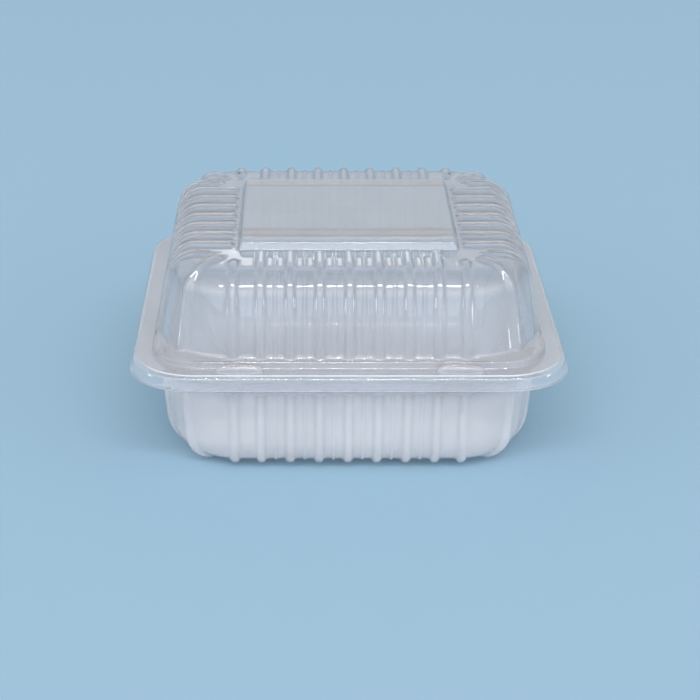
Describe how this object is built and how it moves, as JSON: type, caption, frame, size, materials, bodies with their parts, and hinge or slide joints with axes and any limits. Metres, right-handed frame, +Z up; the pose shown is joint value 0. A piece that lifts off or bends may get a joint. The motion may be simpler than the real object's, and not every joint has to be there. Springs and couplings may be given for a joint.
{
  "type": "plastic clamshell pack",
  "caption": "Clear ribbed food pack with a domed lid hinged to its tray along the back edge and snapped shut at the front flange.",
  "frame": {"origin": "centre of the pack's outline, on the plane that the tray stands on", "axes": "+Z up, +X along the hinge, -Y towards the front with the snap buttons"},
  "size_m": [0.1496, 0.1496, 0.076],
  "materials": {
    "tray_sheet": "gloss",
    "lid_sheet": "gloss"
  },
  "bodies": {
    "tray": {"base_tray": "tray_sheet"},
    "lid": {"lid": "lid_sheet"}
  },
  "joints": [
    {"name": "lid_hinge", "type": "hinge", "parent": "tray", "child": "lid", "pos_m": [0, 0.074, 0.0415], "axis": [-1, 0, 0], "range_deg": [0, 180]}
  ]
}
